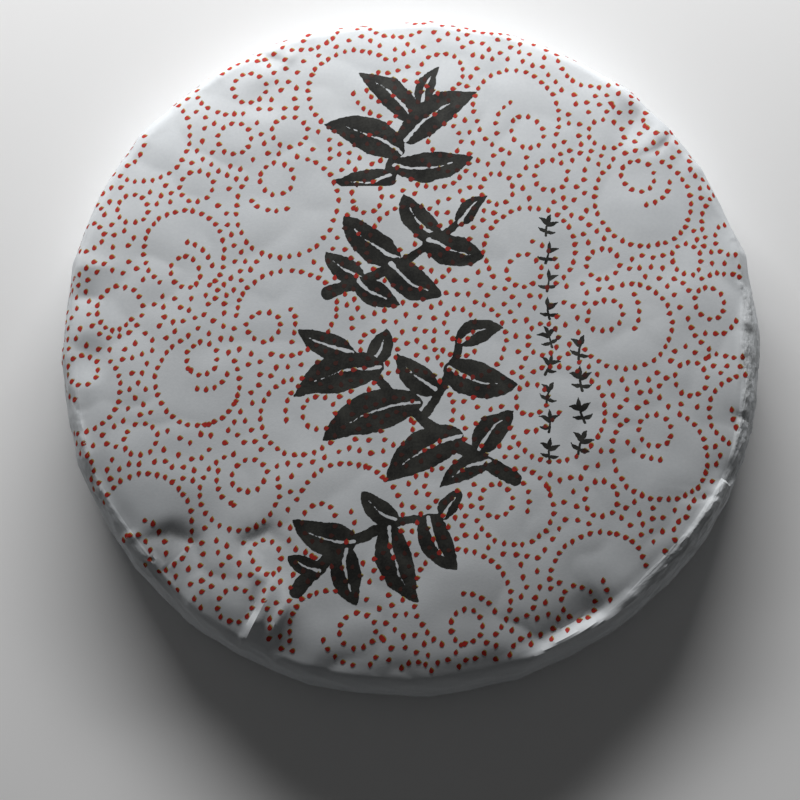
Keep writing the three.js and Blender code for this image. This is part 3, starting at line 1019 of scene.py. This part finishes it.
# %% [markdown]
# ## Rows of dots
# A large bay's edge is an arc that stays open on one side. Its eye is a small ring just inside the opening,
# and a short tail of dots goes on round the eye into the bare bay, so that the whole reads as a curl. A
# middling bay is a spiral that winds in once and a half, and the smallest are plain rings.

# %% Dots along the arcs
DOT_PITCH = 2.62
DOT_SHAKE = 0.12
CLOSEST_IN_A_ROW = 1.9
CURLED_FROM = 10
EYE_RADIUS = 4.7
EYE_INSET = 5.9
OPENING = 7.0
TAIL_SPACE = 4.4
TAIL_START = 1.75
TAIL_TURN = 1.5
SPIRAL_TURNS = 1.45
SPIRAL_IN = 0.42


def arc_dots(centre, radius, start, end):
    count = max(1, round(abs(end - start) * radius / DOT_PITCH))
    turns = start + (np.arange(count) + 0.5) / count * (end - start)
    return centre + radius * np.stack([np.cos(turns), np.sin(turns)], 1)


def spiral_dots(centre, radius, heading, hand):
    count = round(SPIRAL_TURNS * TURN * radius * (1 - SPIRAL_IN / 2) / DOT_PITCH)
    share = np.linspace(0, 1, count)
    turns = heading + hand * share * SPIRAL_TURNS * TURN
    wound = radius * (1 - SPIRAL_IN * share)
    return centre + wound[:, None] * np.stack([np.cos(turns), np.sin(turns)], 1)


row_dots, eyes = [], []
for centre, radius in circles:
    heading = print_draw.uniform(0, TURN)
    hand = print_draw.choice([-1, 1])
    if radius < CURLED_FROM:
        plain = radius == RING_RADIUS
        row_dots.append(arc_dots(centre, radius, heading, heading + TURN) if plain
                        else spiral_dots(centre, radius, heading, hand))
        eyes.append(None)
        continue
    forward = np.array([math.cos(heading), math.sin(heading)])
    eye = centre + (radius - EYE_INSET) * forward
    half = OPENING / radius
    row_dots.append(arc_dots(centre, radius, heading + hand * half, heading + hand * (TURN - half)))
    row_dots.append(arc_dots(eye, EYE_RADIUS, heading, heading + TURN))
    row_dots.append(arc_dots(eye, EYE_RADIUS + TAIL_SPACE, heading - hand * TAIL_START,
                             heading - hand * (TAIL_START + TAIL_TURN)))
    eyes.append((eye, forward))

row_dots = np.concatenate(row_dots)
row_dots += print_draw.normal(0, DOT_SHAKE, row_dots.shape)
kept = row_dots[:1]
for dot in row_dots[1:]:
    if np.hypot(*(kept - dot).T).min() > CLOSEST_IN_A_ROW:
        kept = np.vstack([kept, dot])
row_dots = kept
print(f"{len(row_dots)} dots stand in rows")

# %% [markdown]
# ## Filling the ground
# Random places that are not bare and not too near another dot fill the gaps. A few rounds of pushing apart
# even them out, the way a hand-drawn ground looks even without being a grid. Then the whole layout is bent by
# a slow noise, because a hand draws no compass circles.

# %% Dots between the bays
GROUND_PITCH = 3.0
CLOSEST_IN_GROUND = 2.55
GROUND_THROWS = 20000
EVEN_ROUNDS = 8
EDGE_MARGIN = 1.6
NECK_MARGIN = 0.5
PUSH_SHARE = 0.35
LONGEST_PUSH = 0.5
PRINT_BEND = (1.8, 24, (31, 32))


def bare(places):
    """Whether each place is inside a bay or ring, and not in the ground that reaches in to an eye."""
    inside = np.zeros(len(places), bool)
    for (centre, radius), eye in zip(circles, eyes):
        away = places - centre
        held = np.hypot(*away.T) < radius + EDGE_MARGIN
        if eye:
            neck = away @ eye[1] > radius - EYE_INSET + NECK_MARGIN
            held &= ~(neck & (np.hypot(*(places - eye[0]).T) > EYE_RADIUS + EDGE_MARGIN))
        inside |= held
    return inside


thrown = random_places(GROUND_THROWS, PRINT_RADIUS)
thrown = thrown[~bare(thrown)]
everyone = row_dots
for place in thrown:
    if np.hypot(*(everyone - place).T).min() > CLOSEST_IN_GROUND:
        everyone = np.vstack([everyone, place])
ground_dots = everyone[len(row_dots):]
for _ in range(EVEN_ROUNDS):
    everyone = np.concatenate([row_dots, ground_dots])
    apart = ground_dots[:, None] - everyone[None]
    far = np.hypot(apart[..., 0], apart[..., 1])
    far[far == 0] = FAR_OFF
    push = (apart / far[..., None] * np.clip(GROUND_PITCH - far, 0, None)[..., None]).sum(1)
    moved = ground_dots + np.clip(PUSH_SHARE * push, -LONGEST_PUSH, LONGEST_PUSH)
    free = ~bare(moved)
    ground_dots[free] = moved[free]
dots = np.concatenate([row_dots, ground_dots])
dots = dots + np.stack(shifts(*dots.T, *PRINT_BEND), 1)
dots = dots[np.hypot(*(dots - PRINT_CENTRE).T) < PRINT_RADIUS]
print(f"{len(ground_dots)} dots fill the ground, {len(dots)} in all")

# %% [markdown]
# ## What each dot knows
# A dot is a point with values that the node tree reads: which way its tip turns, its size and stretch, how
# much ink lies with it, and a hair of extra height, so that touching dots never share one plane. A few
# dots have run together with a twin, as happens when a plate prints heavy.

# %% Values on the dots
TIP_TURNS = np.radians([0, 90, -90, 20, 180])
TIP_SHARES = [0.36, 0.26, 0.20, 0.12, 0.06]
TIP_SHAKE = 0.2
DOT_SIZE_SHAKE = 0.06
TWIN_SHARE = 0.007
TWIN_STEP = 1.0
EXTRA_LIFT = 0.01
INK_EDGE = 0.6


def ink_at(places):
    """1 where a place is inked, 0 where it is bare, soft over the width of a line's edge."""
    cover = np.zeros(len(places))
    for x, y, field in inked:
        step = x[1, 0] - x[0, 0]
        i = np.round((places[:, 0] - x[0, 0]) / step).astype(int)
        j = np.round((places[:, 1] - y[0, 0]) / step).astype(int)
        there = (i >= 0) & (i < x.shape[0]) & (j >= 0) & (j < x.shape[1])
        here = np.clip(0.5 - field[i[there], j[there]] / INK_EDGE, 0, 1)
        cover[there] = np.maximum(cover[there], here)
    return cover


twins = []
for number in np.flatnonzero(print_draw.uniform(size=len(dots)) < TWIN_SHARE):
    apart = dots - dots[number]
    far = np.hypot(*apart.T)
    far[number] = FAR_OFF
    mate = far.argmin()
    twins.append(dots[number] - apart[mate] / far[mate] * TWIN_STEP)
places = np.concatenate([dots, twins])
count = len(places)
dot_values = {
    "tip_turn": print_draw.choice(TIP_TURNS, count, p=TIP_SHARES) + print_draw.normal(0, TIP_SHAKE, count),
    "dot_size": 1 + print_draw.normal(0, DOT_SIZE_SHAKE, count),
    "inked": ink_at(places),
    "extra_lift": print_draw.uniform(0, EXTRA_LIFT, count) * MM,
}
print(f"{len(twins)} dots have a twin, {(dot_values['inked'] > 0.5).sum()} dots lie in ink")

# %% [markdown]
# ## Laying print on paper with Geometry Nodes
# Print has no thickness worth the name, but it has an edge, and it follows every dent. So the flat layout
# is folded as the sheet is: straight out to the shoulder, round it, and down the wall. From well outside
# the folded place a ray goes back along the fold's normal and finds the crumpled paper. The same nodes lay
# the dots and the brushwork; only the height above the paper differs.

# %% The nodes that lay a flat print
RAY_START = 30 * MM
RAY_LENGTH = 50 * MM


def along_z(tree, value):
    return add(tree, "ShaderNodeCombineXYZ", {2: value}).outputs[0]


def lay_on_paper(tree, given, geometry):
    """Fold the flat geometry over the shoulder and cast it on the paper."""
    start, radius = given["Shoulder Start"], given["Shoulder Radius"]
    flat = position(tree)
    outward = vectors(tree, "NORMALIZE", flat)
    far = vectors(tree, "LENGTH", flat, out="Value")
    past = maths(tree, "MAXIMUM", maths(tree, "SUBTRACT", far, start), 0.0)
    turn = maths(tree, "MINIMUM", maths(tree, "DIVIDE", past, radius), TURN / 4)
    down = maths(tree, "SUBTRACT", past, maths(tree, "MULTIPLY", turn, radius))
    level = vectors(tree, "SCALE", outward, Scale=maths(tree, "SINE", turn))
    normal = vectors(tree, "ADD", level, along_z(tree, maths(tree, "COSINE", turn)))
    foot = vectors(tree, "SCALE", outward, Scale=maths(tree, "MINIMUM", far, start))
    foot_height = along_z(tree, maths(tree, "SUBTRACT", given["Shoulder Height"], down))
    source = vectors(tree, "ADD", vectors(tree, "ADD", foot, foot_height),
                     vectors(tree, "SCALE", normal, Scale=RAY_START))
    paper_object = add(tree, "GeometryNodeObjectInfo", {"Object": given["Paper Object"]})
    ray = add(tree, "GeometryNodeRaycast", {
        "Target Geometry": paper_object.outputs["Geometry"], "Source Position": source,
        "Ray Direction": vectors(tree, "SCALE", normal, Scale=-1.0), "Ray Length": RAY_LENGTH,
    }).outputs
    height = maths(tree, "ADD", given["Height"], named(tree, "extra_lift"))
    landed = vectors(tree, "ADD", ray["Hit Position"], vectors(tree, "SCALE", normal, Scale=height))
    missed = add(tree, "FunctionNodeBooleanMath", {0: ray["Is Hit"]}, operation="NOT")
    held = add(tree, "GeometryNodeDeleteGeometry",
               {"Geometry": geometry, "Selection": missed.outputs[0]}, domain="POINT")
    return set_position(tree, held.outputs["Geometry"], Position=landed)


LAYING_INPUTS = [
    ("Paper Object", "NodeSocketObject", None),
    ("Shoulder Start", "NodeSocketFloat", 1.0),
    ("Shoulder Radius", "NodeSocketFloat", 1.0),
    ("Shoulder Height", "NodeSocketFloat", 1.0),
    ("Height", "NodeSocketFloat", 0.0),
    ("Ink", "NodeSocketMaterial", None),
]
shoulder_values = {
    "Paper Object": wrapper,
    "Shoulder Start": shoulder_centre[0] * MM,
    "Shoulder Radius": SHOULDER_RADIUS * MM,
    "Shoulder Height": shoulder_centre[1] * MM,
}
print("Print can be laid on the paper")

# %% [markdown]
# ## Ink materials
# Printing ink sinks into paper and dries about as dull as the paper is. The red shifts from dot to dot, goes
# dark brown where black lies with it, and a thin edge of ochre shows where the plates were not quite in
# register. The black is a warm grey-black with cloudy, thinner places, like a brush that was running dry.

# %% Inks
RED = (0.48, 0.026, 0.017, 1)
RED_DEEP = (0.38, 0.018, 0.013, 1)
RED_UNDER_BLACK = (0.050, 0.014, 0.010, 1)
OCHRE = (0.50, 0.38, 0.055, 1)
BLACK = (0.0098, 0.0098, 0.0085, 1)
BLACK_THIN = (0.044, 0.044, 0.038, 1)
OCHRE_DULL = (0.30, 0.26, 0.10, 1)
INK_ROUGHNESS = (0.62, 0.74)
INK_SPECULAR = 0.22
SUNK_SIZE = 2.5
RED_DRIFT_SIZE = 3.0
OCHRE_DRIFT_SIZE = 2.0
THIN_SIZE = 7
THIN_RANGE = (0.38, 0.72)
SPECK_SIZE = 0.6
SPECK_CONTRAST = 0.25


def finish_ink(tree, shader, place):
    """Ink sits in the paper's own tooth and is duller where it has sunk in."""
    sunk = drifting(tree, place, SUNK_SIZE, *INK_ROUGHNESS, detail=4)
    tree.links.new(sunk, shader.inputs["Roughness"])
    shader.inputs["Specular IOR Level"].default_value = INK_SPECULAR
    bump_by(tree, shader, noise(tree, place, TOOTH_SIZE, detail=4), PAPER_TOOTH * MM)


red_ink, tree, shader, place = new_material("red_ink")
red_tone = blend_colours(tree, drifting(tree, place, RED_DRIFT_SIZE, 0.0, 1.0), RED_DEEP, RED)
red_tone = blend_colours(tree, attribute(tree, "inked"), red_tone, RED_UNDER_BLACK)
tree.links.new(red_tone, shader.inputs["Base Color"])
finish_ink(tree, shader, place)

ochre_ink, tree, shader, place = new_material("ochre_ink")
ochre_tone = blend_colours(tree, drifting(tree, place, OCHRE_DRIFT_SIZE, 0.0, 1.0), OCHRE, OCHRE_DULL)
tree.links.new(ochre_tone, shader.inputs["Base Color"])
finish_ink(tree, shader, place)

black_ink, tree, shader, place = new_material("black_ink")
clouds = between(tree, noise(tree, place, THIN_SIZE, detail=5), THIN_RANGE, 0.0, 1.0)
specks = drifting(tree, place, SPECK_SIZE, -SPECK_CONTRAST, SPECK_CONTRAST, detail=4)
thin = maths(tree, "ADD", clouds, specks)
tree.links.new(blend_colours(tree, thin, BLACK, BLACK_THIN), shader.inputs["Base Color"])
finish_ink(tree, shader, place)
print("Three inks are mixed")

# %% [markdown]
# ## Ink on the face
# The brushwork goes down first, a few hundredths of a millimetre above the paper.

# %% Lay the brushwork
BLACK_HEIGHT = 0.035
inking, given, result = new_geometry_tree("inking", LAYING_INPUTS)
finish_tree(inking, result, lay_on_paper(inking, given, given["Geometry"]), given["Ink"])
brushwork = new_piece("brushwork", ink_points, ink_faces)
apply_tree(brushwork, inking, {**shoulder_values, "Height": BLACK_HEIGHT * MM, "Ink": black_ink})
brushwork.data.shade_smooth()
print(f"The brushwork has {len(brushwork.data.polygons)} faces on the paper")

# %% [markdown]
# ## Dots on the face
# One teardrop is a filled circle whose points are drawn out towards +X by a power of how far they face that
# way. Geometry Nodes put a copy on every dot's point, turned and sized by its own values. The same tree
# runs twice: once in ochre, slipped a little up and to the right, and once in red above it.

# %% The dotting tree
DOT_RADIUS = 0.635
DOT_SIDES = 14
DOT_TIP = 0.62
DOT_TIP_POWER = 16.0
OCHRE_HEIGHT = 0.02
RED_HEIGHT = 0.05
OCHRE_SLIP = (0.20, 0.22, 0)

dotting, given, result = new_geometry_tree("dotting", LAYING_INPUTS + [
    ("Dot Radius", "NodeSocketFloat", 1.0),
    ("Tip", "NodeSocketFloat", 0.0),
    ("Slip", "NodeSocketVector", None),
])
disc = add(dotting, "GeometryNodeMeshCircle",
           {"Vertices": DOT_SIDES, "Radius": given["Dot Radius"]}, fill_type="TRIANGLE_FAN")
round_place = position(dotting)
sideways = add(dotting, "ShaderNodeSeparateXYZ", {0: round_place}).outputs["X"]
facing = maths(dotting, "MAXIMUM", maths(dotting, "DIVIDE", sideways, given["Dot Radius"]), 0.0)
tip = maths(dotting, "MULTIPLY", maths(dotting, "POWER", facing, DOT_TIP_POWER), given["Tip"])
grown = vectors(dotting, "SCALE", round_place, Scale=maths(dotting, "ADD", tip, 1.0))
scattered = add(dotting, "GeometryNodeInstanceOnPoints", {
    "Points": set_position(dotting, given["Geometry"], Offset=given["Slip"]),
    "Instance": set_position(dotting, disc.outputs["Mesh"], Position=grown),
    "Rotation": along_z(dotting, named(dotting, "tip_turn")), "Scale": named(dotting, "dot_size"),
})
loose = add(dotting, "GeometryNodeRealizeInstances", {"Geometry": scattered.outputs["Instances"]})
finish_tree(dotting, result, lay_on_paper(dotting, given, loose.outputs["Geometry"]), given["Ink"])

dot_points = np.column_stack([places, np.zeros(len(places))])
prints = []
for name, ink, height, slip in (("ochre_fringe", ochre_ink, OCHRE_HEIGHT, OCHRE_SLIP),
                                ("red_dots", red_ink, RED_HEIGHT, (0, 0, 0))):
    piece = new_piece(name, dot_points, [], dot_values)
    apply_tree(piece, dotting, {
        **shoulder_values, "Height": height * MM, "Ink": ink,
        "Dot Radius": DOT_RADIUS * MM, "Tip": DOT_TIP, "Slip": [v * MM for v in slip],
    })
    piece.data.shade_smooth()
    prints.append(piece)
    print(f"{name} has {len(piece.data.polygons)} faces")
prints.append(brushwork)

# %% [markdown]
# ## The floor and the light
# A wide strip of light stands beyond the top of the print, fairly low and near. It brings out the dome and
# the creases, and the paper darkens towards us; a dim, pale sky fills the rest. One large light overhead
# could do both jobs, but then the creases would wash out and the face would be bright all over.

# %% Floor and lights
FLOOR_SIZE = 6.0
FLOOR_DIM = (0.90, 0.90, 0.90, 1)
FLOOR_LIGHT = (0.93, 0.93, 0.93, 1)
FLOOR_DRIFT_SIZE = 300
FLOOR_ROUGHNESS = 0.8
KEY_PLACE = Vector((-0.06, 0.68, 0.28))
KEY_SIZE = (0.80, 0.12)
KEY_POWER = 9.1
SKY_STRENGTH = 0.05

bpy.ops.mesh.primitive_plane_add(size=FLOOR_SIZE)
floor = bpy.context.object
floor.name = "floor"
floor_material, tree, shader, place = new_material("pale_floor")
floor_tone = drifting(tree, place, FLOOR_DRIFT_SIZE, 0.0, 1.0)
tree.links.new(blend_colours(tree, floor_tone, FLOOR_DIM, FLOOR_LIGHT), shader.inputs["Base Color"])
shader.inputs["Roughness"].default_value = FLOOR_ROUGHNESS
floor.data.materials.append(floor_material)

key_data = bpy.data.lights.new("key", "AREA")
key_data.shape = "RECTANGLE"
key_data.size, key_data.size_y = KEY_SIZE
key_data.energy = KEY_POWER
key = bpy.data.objects.new("key", key_data)
key.location = KEY_PLACE
key.rotation_euler = (-KEY_PLACE).to_track_quat("-Z", "Y").to_euler()
bpy.context.collection.objects.link(key)

world = bpy.data.worlds.new("room")
world.use_nodes = True
world.node_tree.nodes["Background"].inputs["Color"].default_value = (1, 1, 1, 1)
world.node_tree.nodes["Background"].inputs["Strength"].default_value = SKY_STRENGTH
bpy.context.scene.world = world
bpy.context.scene.view_settings.view_transform = "Standard"
print(f"The key light stands {KEY_PLACE.length:.2f} m from the cake")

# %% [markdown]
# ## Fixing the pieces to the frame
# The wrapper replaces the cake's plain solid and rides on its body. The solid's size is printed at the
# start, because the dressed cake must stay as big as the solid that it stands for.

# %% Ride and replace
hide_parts(CAKE)
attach(wrapper, "root")
for piece in prints:
    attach(piece, "root")
